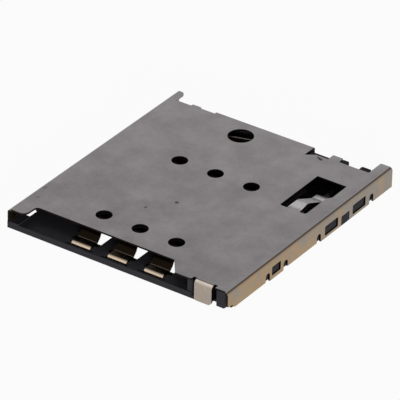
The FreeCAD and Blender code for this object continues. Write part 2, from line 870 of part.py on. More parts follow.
def make_follower():
    """Follower link between its pivot in the housing and its pin in the cam track."""
    half = follower_width / 2
    left_side, right_side = pivot_x - half, pivot_x + half
    tip, end, rounding = pin_y - half, pivot_y + half, half * round_share
    bar = outline([(left_side, tip, rounding), (right_side, tip, rounding), (right_side, end, rounding),
                   (left_side, end, rounding)])
    link = raise_face(bar, follower_bottom, follower_top)
    pin = post(pivot_x, pin_y, track_floor + fine_clearance, follower_bottom + overlap, pin_radius)
    pivot_bottom = deck_top - pivot_depth + fine_clearance
    pivot = post(pivot_x, pivot_y, pivot_bottom, follower_bottom + overlap, pin_radius)
    return joined([link, pin, pivot])


def make_spring():
    """Ejection spring of square wire, from the slider's body to the rear wall, at its resting length."""
    half = spring_wire / 2
    start = body_back + half + fine_clearance
    length = wall_front - half - fine_clearance - start
    outer, inner = spring_radius, spring_radius - spring_wire
    helix = Part.makeHelix(length / spring_turns, length, (outer + inner) / 2)
    corners = [V(outer, 0, -half), V(outer, 0, half), V(inner, 0, half), V(inner, 0, -half)]
    coil = Part.Wire(helix).makePipeShell([Part.makePolygon(corners + corners[:1])], True, True)
    coil.rotate(V(0, 0, 0), V(1, 0, 0), -90)
    coil.translate(V(spring_x, start, spring_z))
    return coil


def main():
    os.makedirs("parts", exist_ok=True)
    print("size", round(overall_width, 3), round(overall_length, 3), round(height, 3))
    save("shell", make_shell())
    save("housing", make_housing())
    names = {(0, 0): "contact_1", (1, 0): "contact_2", (2, 0): "contact_3",
             (0, 1): "contact_5", (1, 1): "contact_6", (2, 1): "contact_7"}
    for (column, row), name in names.items():
        save(name, make_contact(columns[column], rows[row]))
    save("slider", make_slider())
    save("cam_follower", make_follower())
    save("eject_spring", make_spring())
    save("switch_leaf", make_leaf())
    save("switch_terminal", make_terminal())


main()
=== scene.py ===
import math

import bpy
from mathutils import Matrix, Vector


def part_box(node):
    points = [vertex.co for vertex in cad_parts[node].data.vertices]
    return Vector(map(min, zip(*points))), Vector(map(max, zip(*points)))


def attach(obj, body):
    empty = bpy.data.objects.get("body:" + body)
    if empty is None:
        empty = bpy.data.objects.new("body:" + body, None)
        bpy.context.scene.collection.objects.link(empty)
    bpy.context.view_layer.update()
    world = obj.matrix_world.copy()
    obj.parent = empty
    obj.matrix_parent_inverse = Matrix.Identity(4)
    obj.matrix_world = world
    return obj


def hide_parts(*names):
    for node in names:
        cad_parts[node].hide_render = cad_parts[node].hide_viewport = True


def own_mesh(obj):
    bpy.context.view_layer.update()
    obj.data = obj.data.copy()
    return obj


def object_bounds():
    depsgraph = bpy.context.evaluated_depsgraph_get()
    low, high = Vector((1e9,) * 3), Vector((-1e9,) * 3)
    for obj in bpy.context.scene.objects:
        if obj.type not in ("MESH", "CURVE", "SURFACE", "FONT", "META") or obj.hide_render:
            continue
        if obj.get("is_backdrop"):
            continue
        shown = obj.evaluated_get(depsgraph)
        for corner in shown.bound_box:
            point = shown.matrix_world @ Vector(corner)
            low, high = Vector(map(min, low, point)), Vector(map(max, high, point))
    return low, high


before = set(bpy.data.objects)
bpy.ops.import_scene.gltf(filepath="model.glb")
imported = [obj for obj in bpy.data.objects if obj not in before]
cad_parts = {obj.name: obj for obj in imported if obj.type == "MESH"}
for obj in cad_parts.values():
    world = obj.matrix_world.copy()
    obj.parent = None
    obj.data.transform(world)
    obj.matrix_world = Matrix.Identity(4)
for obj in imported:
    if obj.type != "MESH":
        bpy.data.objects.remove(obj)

bl_info = {
    "name": "SIM card socket",
    "version": (1, 0, 0),
    "blender": (4, 5, 0),
    "location": "3D View > Sidebar > Socket",
    "description": "Finishes, springs and studio for a push-push socket that takes a micro SIM card",
    "category": "Object",
}

MM = 0.001
CAD_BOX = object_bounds()
# The CAD model's front, right and top, in millimetres
FRONT = CAD_BOX[0][1] / MM
RIGHT = CAD_BOX[1][0] / MM
TOP = CAD_BOX[1][2] / MM
CONTACTS = [name for name in sorted(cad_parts) if name.startswith("contact_")]

# Where the shell's finish changes, in millimetres: past these lines the sheet is a side wall, the front
# flange with its bend, the rear fold or, at its far left, the ear, and under the last level it is no
# longer the flat plate
WALL_LINE = RIGHT - 0.44
FLANGE_LINE = FRONT + 0.375
FLANGE_LEFT = 5.25
FLANGE_RIGHT = 6.72
REAR_LINE = 7.6
EAR_LINE = -6.6
BELOW_PLATE = TOP - 0.2
# A face of the shell looks along an axis when that part of its normal is over the first of these, and a
# face of a contact is a cut edge when the sideways part is over the second
FACING = 0.5
EDGE_FACING = 0.7

# The spring tongue in millimetres, how far its two edges are drawn in, how much its flat part is lifted
# towards the plate's level and how much further back its foot reaches
TONGUE_LEFT = 5.01
TONGUE_RIGHT = 6.09
TONGUE_ROOT = 1.155
TONGUE_BEND = 2.16
TONGUE_FOOT = 3.42
TONGUE_TIP = 4.105
TONGUE_LEFT_DRAWN = 0.20
TONGUE_RIGHT_DRAWN = 0.13
TONGUE_LIFT = 0.08
TONGUE_LONGER = 0.25
# Where the tongue's own finish begins and ends, in millimetres
TONGUE_START = TONGUE_ROOT - 0.05
TONGUE_END = TONGUE_TIP + TONGUE_LONGER
# How far a corner may lie from the tongue's edge or end, and a face's middle from its tip
CORNER_SLACK = 0.002
TIP_SLACK = 0.01

# Marks on the top plate: x, y and radius in millimetres, and how light the middle is. The last is a
# faint round one, and the others are specks. Each has its full tone out to MARK_CORE of its radius
MARKS = (
    (-0.21, -2.18, 0.15, 0.2),
    (-1.36, -3.68, 0.12, 0.35),
    (-7.32, -5.35, 0.16, 0.7),
    (-7.03, -6.45, 0.14, 0.7),
    (3.56, 6.96, 0.10, 0.25),
    (3.70, 6.90, 0.12, 0.15),
    (3.84, 6.84, 0.14, 0.2),
    (5.70, -4.40, 1.60, 1.07),
)
MARK_CORE = 0.6

# Sizes of the patterns in millimetres, and last the depth of their relief. The real grain, fibres,
# lines, tears and crystals are finer, and are drawn this coarse to show
ROLLED_GRAIN = 0.13
PLATE_CLOUDS = 1.7
WALL_PATCHES = 0.8
WALL_BLOTCHES = 1.1
FLANGE_CLOUDS = 0.6
TONGUE_STREAKS = 0.2
SHEAR_TEARS = 0.05
MOULD_CLOUDS = 0.9
GLASS_FIBRES = 0.07
DRAWN_LINES = 0.06
STEEL_CLOUDS = 0.5
TIN_CRYSTALS = 0.04
CARD_FIBRES = 4.5
GRAIN_DEPTH = 0.004

# Height in millimetres where the contacts' pale flash begins to give way to painted shade, the hard gold
# darkened near black, and over how much
PAINTED_SHADE_HEIGHT = 0.385
PAINTED_SHADE_FADE = 0.085

# Merging and smoothing of the metal pieces
MERGE_GAP = 0.0005 * MM
LEVEL_ANGLE = math.radians(0.4)
BEND_ANGLE = math.radians(40)

# Ejection spring: sides of the round wire, steps in a turn, and the merging and smoothing of its mesh
WIRE_SIDES = 10
STEPS_A_TURN = 28
WIRE_MERGE_GAP = 0.0001 * MM
WIRE_ANGLE = math.radians(50)

# Soft lamps, each with its place and width in metres and its power
LAMPS = {
    "key_softbox": ((-0.06, 0.10, 0.26), 0.20, 0.14),
    "fill_softbox": ((0.20, -0.24, 0.025), 0.10, 1.00),
}
# How bright the surroundings light the socket, how much of the floor is seen as white, and that white
SOFT_SKY = 0.07
SEEN_WHITE = 0.95
WHITE = (1, 1, 1)

# A Mix node's sockets for colours, which share their names with its other sockets
FACTOR, FIRST, SECOND, RESULT = 0, 6, 7, 2
BLEND = {"data_type": "RGBA"}
MULTIPLY = {"data_type": "RGBA", "blend_type": "MULTIPLY"}


def linear(code):
    """An sRGB hex colour as the linear red, green and blue that the shaders take."""
    parts = [int(code[i:i + 2], 16) / 255 for i in (1, 3, 5)]
    return tuple(p / 12.92 if p <= 0.04045 else ((p + 0.055) / 1.055) ** 2.4 for p in parts)


def colour(label, description, code):
    """A colour that the user can change, set from its hex value."""
    return bpy.props.FloatVectorProperty(name=label, description=description, subtype="COLOR", size=3,
                                         min=0, max=1, default=linear(code))


class SocketSizes(bpy.types.PropertyGroup):
    """Sizes that a user would change."""
    wire: bpy.props.FloatProperty(name="Spring wire", description="Thickness of the ejection spring's wire",
                                  default=0.11 * MM, unit="LENGTH", precision=6)
    turns: bpy.props.IntProperty(name="Spring turns", description="Turns of the ejection spring",
                                 default=12, min=4)
    floor: bpy.props.FloatProperty(name="Floor", description="Width of the pale floor", default=0.6,
                                   unit="LENGTH")


class SocketColours(bpy.types.PropertyGroup):
    """Colours of the finishes."""
    plate: colour("Shell, top", "Rolled stainless sheet seen from above", "#736F71")
    plate_light: colour("Shell, light patches", "Brighter patches of the rolled sheet", "#888485")
    # The tongue's tone carries a painted highlight, and painted shade at its tip
    tongue: colour("Shell, tongue", "Rubbed top of the spring tongue", "#D0CCCD")
    # The cut edges' near-black tone is partly their dull sheared finish and partly painted shade
    cut: colour("Shell, cut edges", "Dark sheared edges of the sheet", "#241F1D")
    # The fold's dark line is painted reflection, on the walls and on the front flange
    fold: colour("Shell, folds", "Dark line where the sheet turns down", "#51473F")
    blotch: colour("Shell, walls' blotches", "Orange blotches on the side walls", "#A98B6A")
    # The walls' warm tone and their greyer patches are painted reflection of the bench
    wall: colour("Shell, walls", "Warm tone of the folded side walls", "#A18969")
    wall_cool: colour("Shell, walls' cool patches", "Greyer patches of the side walls", "#8F867B")
    # The flange's paler tone is painted reflection, and its bend's brightness a painted highlight
    flange: colour("Shell, front", "Paler tone of the front flange", "#A89B8F")
    flange_bend_highlight: colour("Shell, front fold", "Bright bend at the top of the front flange", "#CDC3B9")
    plastic: colour("Plastic", "Black moulded plastic with glass fibre", "#3A393D")
    # Blacker than the base as painted shade, for where the slider lies under the shell
    slider: colour("Slider plastic", "Blacker moulded plastic of the slider", "#0B0B0D")
    flash: colour("Gold flash", "Pale gold flash on the contacts' feet and front bends", "#C9B6A1")
    # Near black: hard gold darkened as painted shade, on the contacts' ramps and domes and the switch's
    # faces
    gold: colour("Hard gold", "Deep gold on the contacts' ramps and domes", "#18120D")
    bronze: colour("Bare bronze", "Phosphor bronze where the die cut through the plating", "#6E4C33")
    tin: colour("Matt tin", "Whitish tin on the switch", "#857F77")
    steel: colour("Spring steel", "Bright steel of the link and the spring", "#8A8887")
    floor: colour("Floor", "Pale studio floor", "#F4F4F4")


class SocketCamera(bpy.types.PropertyGroup):
    """Where the camera stands."""
    azimuth: bpy.props.FloatProperty(name="Azimuth", description="Turn of the camera about the vertical",
                                     default=math.radians(33.94), subtype="ANGLE")
    elevation: bpy.props.FloatProperty(name="Elevation", description="Height of the camera as an angle",
                                       default=math.radians(31.19), subtype="ANGLE")
    roll: bpy.props.FloatProperty(name="Roll", description="Lean of the camera",
                                  default=math.radians(1.26), subtype="ANGLE")
    distance: bpy.props.FloatProperty(name="Distance", description="From the camera to the socket's middle",
                                      default=254.07 * MM, unit="LENGTH")
    lens: bpy.props.FloatProperty(name="Lens", description="Focal length on a 36 mm sensor", default=393.25)
    target: bpy.props.FloatVectorProperty(name="Target", description="Point in the middle of the picture",
                                          default=(0.11 * MM, -0.26 * MM, 0.65 * MM),
                                          subtype="TRANSLATION")


def add(tree, kind, settings=(), inputs=(), stops=()):
    """Adds a node with its properties, its inputs, each a value or a link to (node, output), and the
    (place, colour or grey) stops of its ramp."""
    node = tree.nodes.new(kind)
    for key, value in dict(settings).items():
        setattr(node, key, value)
    for key, value in dict(inputs).items():
        if isinstance(value, tuple) and isinstance(value[0], bpy.types.Node):
            tree.links.new(value[0].outputs[value[1]], node.inputs[key])
        else:
            node.inputs[key].default_value = value
    for index, (place, tone) in enumerate(stops):
        elements = node.color_ramp.elements
        element = elements[index] if index < 2 else elements.new(place)
        element.position = place
        element.color = tone if isinstance(tone, tuple) else (tone, tone, tone, 1.0)
    return node


def rgba(rgb, times=1.0):
    """A colour as a node's input takes it, made darker or lighter."""
    return tuple(times * part for part in rgb) + (1.0,)


def start(name):
    """A new material, its tree, the place in millimetres, by which a pattern's scale is one over its
    size, and the normal."""
    material = bpy.data.materials.new(name)
    material.use_nodes = True
    tree = material.node_tree
    tree.nodes.clear()
    source = add(tree, "ShaderNodeTexCoord")
    place = add(tree, "ShaderNodeVectorMath", {"operation": "SCALE"},
                {0: (source, "Object"), "Scale": 1 / MM})
    return material, tree, (place, "Vector"), (source, "Normal")


def close(tree, tone, fine, rough, relief, inputs):
    """Ends a material: a fine grain spreads the roughness over its range and gives the bump, and the
    shader has these inputs besides."""
    spread = add(tree, "ShaderNodeMapRange", (),
                 {"Value": (fine, "Fac"), "To Min": rough[0], "To Max": rough[1]})
    bump = add(tree, "ShaderNodeBump", (),
               {"Height": (fine, "Fac"), "Strength": relief, "Distance": GRAIN_DEPTH * MM})
    shader = add(tree, "ShaderNodeBsdfPrincipled", (),
                 {"Base Color": tone, "Roughness": (spread, "Result"), "Normal": (bump, "Normal"), **inputs})
    add(tree, "ShaderNodeOutputMaterial", (), {"Surface": (shader, "BSDF")})


def satin(tree, place, tone, rough=(0.30, 0.42), metallic=1.0):
    """Ends a sheet's material with the rolled grain, drawn several times coarser than it is, to show."""
    fine = add(tree, "ShaderNodeTexNoise", (),
               {"Vector": place, "Scale": 1 / ROLLED_GRAIN, "Detail": 3.0, "Roughness": 0.65})
    speckle = add(tree, "ShaderNodeValToRGB", (), {"Fac": (fine, "Fac")}, [(0.3, 0.93), (0.7, 1.06)])
    toned = add(tree, "ShaderNodeMix", MULTIPLY, {FACTOR: 1.0, FIRST: tone, SECOND: (speckle, "Color")})
    close(tree, (toned, RESULT), fine, rough, relief=0.05, inputs={"Metallic": metallic})


def rolled_plate(colours):
    """Rolled 301 stainless sheet, as it lies on top. Satin with cloudy patches, paler to the rear, and
    a few small dark specks and one faint round mark from handling."""
    material, tree, place, _ = start("rolled_stainless_301")
    where = add(tree, "ShaderNodeSeparateXYZ", (), {"Vector": place})
    cloud = add(tree, "ShaderNodeTexNoise", (),
                {"Vector": place, "Scale": 1 / PLATE_CLOUDS, "Detail": 5.0, "Roughness": 0.65})
    backward = add(tree, "ShaderNodeMapRange", (),
                   {"Value": (where, "Y"), "From Min": -8.0, "From Max": 8.0,
                    "To Min": -0.07, "To Max": 0.07})
    patchy = add(tree, "ShaderNodeMath", {"operation": "ADD"}, {0: (cloud, "Fac"), 1: (backward, "Result")})
    share = add(tree, "ShaderNodeValToRGB", (), {"Fac": (patchy, "Value")}, [(0.30, 0.0), (0.70, 1.0)])
    tone = add(tree, "ShaderNodeMix", BLEND,
               {FACTOR: (share, "Color"), FIRST: rgba(colours.plate), SECOND: rgba(colours.plate_light)})
    for x, y, radius, middle in MARKS:
        apart = add(tree, "ShaderNodeVectorMath", {"operation": "DISTANCE"}, {0: place, 1: (x, y, TOP)})
        spot = add(tree, "ShaderNodeMapRange", (),
                   {"Value": (apart, "Value"), "From Min": MARK_CORE * radius, "From Max": radius,
                    "To Min": middle, "To Max": 1.0})
        tone = add(tree, "ShaderNodeMix", MULTIPLY,
                   {FACTOR: 1.0, FIRST: (tone, RESULT), SECOND: (spot, "Result")})
    satin(tree, place, (tone, RESULT))
    return material


def folded_wall(colours):
    """The same sheet folded down at the sides. Its warm tone is painted reflection of the bench, greyer in
    patches and more so to the rear and higher up. A few orange blotches, and a dark line of painted
    reflection where the fold begins."""
    material, tree, place, normal = start("folded_stainless_301_painted_reflection")
    where = add(tree, "ShaderNodeSeparateXYZ", (), {"Vector": place})
    facing = add(tree, "ShaderNodeSeparateXYZ", (), {"Vector": normal})
    sideways = add(tree, "ShaderNodeMath", {"operation": "ABSOLUTE"}, {0: (facing, "X")})
    patch = add(tree, "ShaderNodeTexNoise", (),
                {"Vector": place, "Scale": 1 / WALL_PATCHES, "Detail": 3.0, "Roughness": 0.6})
    rearward = add(tree, "ShaderNodeMapRange", (),
                   {"Value": (where, "Y"), "From Min": -3.0, "From Max": 6.0,
                    "To Min": -0.08, "To Max": 0.22})
    upward = add(tree, "ShaderNodeMapRange", (),
                 {"Value": (where, "Z"), "From Min": 0.2, "From Max": 1.1, "To Min": -0.10, "To Max": 0.12})
    cool = add(tree, "ShaderNodeMath", {"operation": "ADD"}, {0: (patch, "Fac"), 1: (rearward, "Result")})
    cool = add(tree, "ShaderNodeMath", {"operation": "ADD"}, {0: (cool, "Value"), 1: (upward, "Result")})
    share = add(tree, "ShaderNodeValToRGB", (), {"Fac": (cool, "Value")}, [(0.40, 0.0), (0.66, 1.0)])
    tone = add(tree, "ShaderNodeMix", BLEND,
               {FACTOR: (share, "Color"), FIRST: rgba(colours.wall), SECOND: rgba(colours.wall_cool)})
    spots = add(tree, "ShaderNodeTexNoise", (), {"Vector": place, "Scale": 1 / WALL_BLOTCHES, "Detail": 1.0})
    share = add(tree, "ShaderNodeValToRGB", (), {"Fac": (spots, "Fac")}, [(0.50, 0.0), (0.72, 0.6)])
    tone = add(tree, "ShaderNodeMix", BLEND,
               {FACTOR: (share, "Color"), FIRST: (tone, RESULT), SECOND: rgba(colours.blotch)})
    # By the normal: the upper bend takes the plate's light tone and the fold colour paints a dark band where
    # it turns, both painted reflection
    share = add(tree, "ShaderNodeValToRGB", (), {"Fac": (sideways, "Value")}, [(0.55, 0.0), (0.75, 1.0)])
    tone = add(tree, "ShaderNodeMix", BLEND,
               {FACTOR: (share, "Color"), FIRST: rgba(colours.plate_light), SECOND: (tone, RESULT)})
    line = add(tree, "ShaderNodeValToRGB", (), {"Fac": (sideways, "Value")},
               [(0.16, 0.0), (0.34, 1.0), (0.60, 1.0), (0.86, 0.0)])
    tone = add(tree, "ShaderNodeMix", BLEND,
               {FACTOR: (line, "Color"), FIRST: (tone, RESULT), SECOND: rgba(colours.fold)})
    satin(tree, place, (tone, RESULT))
    return material


def front_flange(colours):
    """The same sheet bent down to the board at the front. Its tones follow the normal as painted reflection:
    paler than the walls on the face, a painted highlight on the bend, and a painted dark line where the bend
    begins."""
    material, tree, place, normal = start("bent_stainless_301_painted_reflection")
    facing = add(tree, "ShaderNodeSeparateXYZ", (), {"Vector": normal})
    forward = add(tree, "ShaderNodeMath", {"operation": "MULTIPLY"}, {0: (facing, "Y"), 1: -1.0})
    # Tone by how far the face looks forward: painted reflection, with the bend's painted dark line and
    # painted highlight
    tone = add(tree, "ShaderNodeValToRGB", (), {"Fac": (forward, "Value")},
               [(0.04, rgba(colours.plate_light)), (0.12, rgba(colours.fold)), (0.24, rgba(colours.fold)),
                (0.42, rgba(colours.flange_bend_highlight)), (0.66, rgba(colours.flange_bend_highlight)),
                (0.92, rgba(colours.flange))])
    cloud = add(tree, "ShaderNodeTexNoise", (), {"Vector": place, "Scale": 1 / FLANGE_CLOUDS, "Detail": 3.0})
    share = add(tree, "ShaderNodeValToRGB", (), {"Fac": (cloud, "Fac")}, [(0.3, 0.94), (0.7, 1.04)])
    tone = add(tree, "ShaderNodeMix", MULTIPLY,
               {FACTOR: 1.0, FIRST: (tone, "Color"), SECOND: (share, "Color")})
    satin(tree, place, (tone, RESULT))
    return material


def tongue_painted_light(colours):
    """The spring tongue, pressed out of the same sheet. Its tone along its length is painted light: the
    plate's tone at the root, a painted highlight along the flat that is brightest on the slope, and painted
    shade at the tip. The press left the slope rough, so it scatters light where the flats mirror it."""
    material, tree, place, normal = start("stainless_301_tongue_painted_light")
    where = add(tree, "ShaderNodeSeparateXYZ", (), {"Vector": place})
    along = add(tree, "ShaderNodeMapRange", (),
                {"Value": (where, "Y"), "From Min": TONGUE_ROOT, "From Max": TONGUE_END})
    # Painted highlight along the flat and slope, and painted shade at the tip
    share = add(tree, "ShaderNodeValToRGB", (), {"Fac": (along, "Result")},
                [(0.04, 0.36), (0.13, 0.74), (0.33, 0.80), (0.42, 1.6), (0.72, 1.8), (0.80, 1.15),
                 (0.92, 1.0), (1.0, 0.2)])
    tone = add(tree, "ShaderNodeMix", MULTIPLY,
               {FACTOR: 1.0, FIRST: rgba(colours.tongue), SECOND: (share, "Color")})
    streaks = add(tree, "ShaderNodeMapping", (), {"Vector": place, "Scale": (1.0, 0.15, 1.0)})
    streaks = add(tree, "ShaderNodeTexNoise", (),
                  {"Vector": (streaks, "Vector"), "Scale": 1 / TONGUE_STREAKS})
    share = add(tree, "ShaderNodeValToRGB", (), {"Fac": (streaks, "Fac")}, [(0.3, 0.8), (0.7, 1.1)])
    tone = add(tree, "ShaderNodeMix", MULTIPLY,
               {FACTOR: 1.0, FIRST: (tone, RESULT), SECOND: (share, "Color")})
    facing = add(tree, "ShaderNodeSeparateXYZ", (), {"Vector": normal})
    mirror = add(tree, "ShaderNodeMapRange", (),
                 {"Value": (facing, "Y"), "From Min": 0.05, "From Max": 0.2, "To Min": 1.0, "To Max": 0.1})
    satin(tree, place, (tone, RESULT), rough=(0.38, 0.50), metallic=(mirror, "Result"))
    return material


def shaded_sheared_edge(colours):
    """Stainless sheet where the die cut it, also given to the hole walls. Rough, and near black partly from
    the dull cut and partly as painted shade, so the holes have a crisp black rim.
    """
    material, tree, place, _ = start("sheared_stainless_301_painted_shade")
    across = add(tree, "ShaderNodeMapping", (), {"Vector": place, "Scale": (1.0, 1.0, 0.2)})
    tear = add(tree, "ShaderNodeTexNoise", (),
               {"Vector": (across, "Vector"), "Scale": 1 / SHEAR_TEARS, "Roughness": 0.6})
    tone = add(tree, "ShaderNodeMix", BLEND,
               {FACTOR: (tear, "Fac"), FIRST: rgba(colours.cut, 0.7), SECOND: rgba(colours.cut, 1.3)})
    close(tree, (tone, RESULT), tear, rough=(0.5, 0.7), relief=0.05, inputs={"Metallic": 1.0})
    return material


def filled_plastic(name, rgb, gloss):
    """Glass-filled liquid crystal polymer, moulded. Near black, slightly silky, with a faint speckle
    of fibres along the flow."""
    material, tree, place, _ = start(name)
    cloud = add(tree, "ShaderNodeTexNoise", (), {"Vector": place, "Scale": 1 / MOULD_CLOUDS})
    along = add(tree, "ShaderNodeMapping", (), {"Vector": place, "Scale": (1.0, 0.25, 1.0)})
    fibre = add(tree, "ShaderNodeTexNoise", (),
                {"Vector": (along, "Vector"), "Scale": 1 / GLASS_FIBRES, "Roughness": 0.7})
    tone = add(tree, "ShaderNodeMix", BLEND,
               {FACTOR: (cloud, "Fac"), FIRST: rgba(rgb, 0.88), SECOND: rgba(rgb, 1.1)})
    speckle = add(tree, "ShaderNodeValToRGB", (), {"Fac": (fibre, "Fac")}, [(0.35, 0.86), (0.7, 1.12)])
    tone = add(tree, "ShaderNodeMix", MULTIPLY,
               {FACTOR: 1.0, FIRST: (tone, RESULT), SECOND: (speckle, "Color")})
    close(tree, (tone, RESULT), fibre, rough=(0.62, 0.80), relief=0.12,
          inputs={"IOR": 1.5, "Specular IOR Level": gloss})
    return material


def drawn_lines(tree, place):
    """Fine lines that run lengthwise, as a strip or wire has them."""
    along = add(tree, "ShaderNodeMapping", (), {"Vector": place, "Scale": (1.0, 0.1, 0.1)})
    return add(tree, "ShaderNodeTexNoise", (),
               {"Vector": (along, "Vector"), "Scale": 1 / DRAWN_LINES, "Roughness": 0.6})


def contact_gold(colours):
    """Phosphor bronze strip, gold plated and then cut. Pale flash on the foot, with a painted highlight and
    painted shade round the front bend by its normal; above a height line on ramp and dome the hard gold is
    darkened near black as painted shade; bare bronze on the cut edges. The specular tint keeps the domes
    dark where they are seen at a low angle through the holes."""
    material, tree, place, normal = start("gold_on_phosphor_bronze")
    where = add(tree, "ShaderNodeSeparateXYZ", (), {"Vector": place})
    facing = add(tree, "ShaderNodeSeparateXYZ", (), {"Vector": normal})
    tilt = add(tree, "ShaderNodeMapRange", (), {"Value": (facing, "Z"), "From Min": -1.0, "From Max": 1.0})
    # Painted highlight and shade round the front bend, by how far each face looks up
    painted_bend_light = add(tree, "ShaderNodeValToRGB", (), {"Fac": (tilt, "Result")},
              [(0.2, 0.8), (0.36, 0.60), (0.56, 0.65), (0.68, 1.1), (0.86, 1.1), (0.97, 0.8)])
    flash = add(tree, "ShaderNodeMix", MULTIPLY,
                {FACTOR: 1.0, FIRST: rgba(colours.flash), SECOND: (painted_bend_light, "Color")})
    # Painted shade by height: above the line the strip takes the near-black gold
    above = add(tree, "ShaderNodeMapRange", (),
                {"Value": (where, "Z"), "From Min": PAINTED_SHADE_HEIGHT, "From Max": PAINTED_SHADE_HEIGHT + PAINTED_SHADE_FADE})
    tone = add(tree, "ShaderNodeMix", BLEND,
               {FACTOR: (above, "Result"), FIRST: (flash, RESULT), SECOND: rgba(colours.gold)})
    sideways = add(tree, "ShaderNodeMath", {"operation": "ABSOLUTE"}, {0: (facing, "X")})
    cut = add(tree, "ShaderNodeMath", {"operation": "GREATER_THAN"},
              {0: (sideways, "Value"), 1: EDGE_FACING})
    tone = add(tree, "ShaderNodeMix", BLEND,
               {FACTOR: (cut, "Value"), FIRST: (tone, RESULT), SECOND: rgba(colours.bronze)})
    lines = drawn_lines(tree, place)
    close(tree, (tone, RESULT), lines, rough=(0.18, 0.30), relief=0.04,
          inputs={"Metallic": 1.0, "Specular Tint": rgba(WHITE, 0.45)})
    return material


def drawn_steel(name, rgb, rough):
    """Hardened spring steel, drawn or rolled. Bright, with fine lines along its length."""
    material, tree, place, _ = start(name)
    lines = drawn_lines(tree, place)
    cloud = add(tree, "ShaderNodeTexNoise", (), {"Vector": place, "Scale": 1 / STEEL_CLOUDS})
    tone = add(tree, "ShaderNodeMix", BLEND,
               {FACTOR: (cloud, "Fac"), FIRST: rgba(rgb, 0.9), SECOND: rgba(rgb, 1.06)})
    close(tree, (tone, RESULT), lines, rough, relief=0.04, inputs={"Metallic": 1.0})
    return material


def matt_tin(colours):
    """Matt tin over phosphor bronze, electroplated. Whitish on the faces that look up, and painted shade on
    the others, which take the contacts' near-black gold."""
    material, tree, place, normal = start("matt_tin_on_bronze")
    crystals = add(tree, "ShaderNodeTexNoise", (),
                   {"Vector": place, "Scale": 1 / TIN_CRYSTALS, "Roughness": 0.6})
    tone = add(tree, "ShaderNodeMix", BLEND,
               {FACTOR: (crystals, "Fac"), FIRST: rgba(colours.tin, 0.9), SECOND: rgba(colours.tin, 1.05)})
    facing = add(tree, "ShaderNodeSeparateXYZ", (), {"Vector": normal})
    # Faces that don't look up are painted shade, in the contacts' near-black gold
    unshaded_top = add(tree, "ShaderNodeValToRGB", (), {"Fac": (facing, "Z")}, [(0.4, 0.0), (0.6, 1.0)])
    tone = add(tree, "ShaderNodeMix", BLEND,
               {FACTOR: (unshaded_top, "Color"), FIRST: rgba(colours.gold), SECOND: (tone, RESULT)})
    close(tree, (tone, RESULT), crystals, rough=(0.45, 0.60), relief=0.04, inputs={"Metallic": 0.4})
    return material


def studio_floor(rgb):
    """Matt white card. White to the camera and in reflections, with a soft shadow left in it."""
    material, tree, place, _ = start("matt_white_card")
    fibre = add(tree, "ShaderNodeTexNoise", (), {"Vector": place, "Scale": 1 / CARD_FIBRES, "Detail": 3.0})
    tone = add(tree, "ShaderNodeMix", BLEND,
               {FACTOR: (fibre, "Fac"), FIRST: rgba(rgb, 0.985), SECOND: rgba(rgb)})
    card = add(tree, "ShaderNodeBsdfDiffuse", (), {"Color": (tone, RESULT)})
    path = add(tree, "ShaderNodeLightPath")
    seen = add(tree, "ShaderNodeMath", {"operation": "MAXIMUM"},
               {0: (path, "Is Camera Ray"), 1: (path, "Is Glossy Ray")})
    share = add(tree, "ShaderNodeMath", {"operation": "MULTIPLY"}, {0: (seen, "Value"), 1: SEEN_WHITE})
    glow = add(tree, "ShaderNodeEmission", (), {"Color": rgba(WHITE), "Strength": 1.0})
    mix = add(tree, "ShaderNodeMixShader", (),
              {0: (share, "Value"), 1: (card, "BSDF"), 2: (glow, "Emission")})
    add(tree, "ShaderNodeOutputMaterial", (), {"Surface": (mix, "Shader")})
    return material


def deselect():
    """Nothing selected and nothing in edit mode, before an operator acts."""
    if bpy.context.object and bpy.context.object.mode != "OBJECT":
        bpy.ops.object.mode_set(mode="OBJECT")
    bpy.ops.object.select_all(action="DESELECT")


def pick(piece):
    """This piece alone selected and active."""
    deselect()
    piece.select_set(True)
    bpy.context.view_layer.objects.active = piece


def dressed_copy(node, name, body, material, reshape=None):
    """A merged copy of a metal node, with smooth bends and level flats, standing in its place."""
    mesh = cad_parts[node].data.copy()
    piece = bpy.data.objects.new(name, mesh)
    bpy.context.scene.collection.objects.link(piece)
    pick(piece)
    bpy.ops.object.mode_set(mode="EDIT")
    bpy.ops.mesh.select_all(action="SELECT")
    bpy.ops.mesh.remove_doubles(threshold=MERGE_GAP)
    bpy.ops.mesh.dissolve_limited(angle_limit=LEVEL_ANGLE)
    bpy.ops.object.mode_set(mode="OBJECT")
    if reshape:
        reshape(mesh)
    bpy.ops.object.shade_smooth_by_angle(angle=BEND_ANGLE)
    flatten = piece.modifiers.new("flat_faces", "WEIGHTED_NORMAL")
    flatten.keep_sharp = True
    bpy.ops.object.modifier_apply(modifier=flatten.name)
    piece.data.materials.clear()
    piece.data.materials.append(material)
    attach(piece, body)
    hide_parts(node)
    return piece


def finish_node(node, material):
    """Puts a material in a CAD node's slots."""
    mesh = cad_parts[node].data
    if not mesh.materials:
        mesh.materials.append(material)
    for index in range(len(mesh.materials)):
        mesh.materials[index] = material


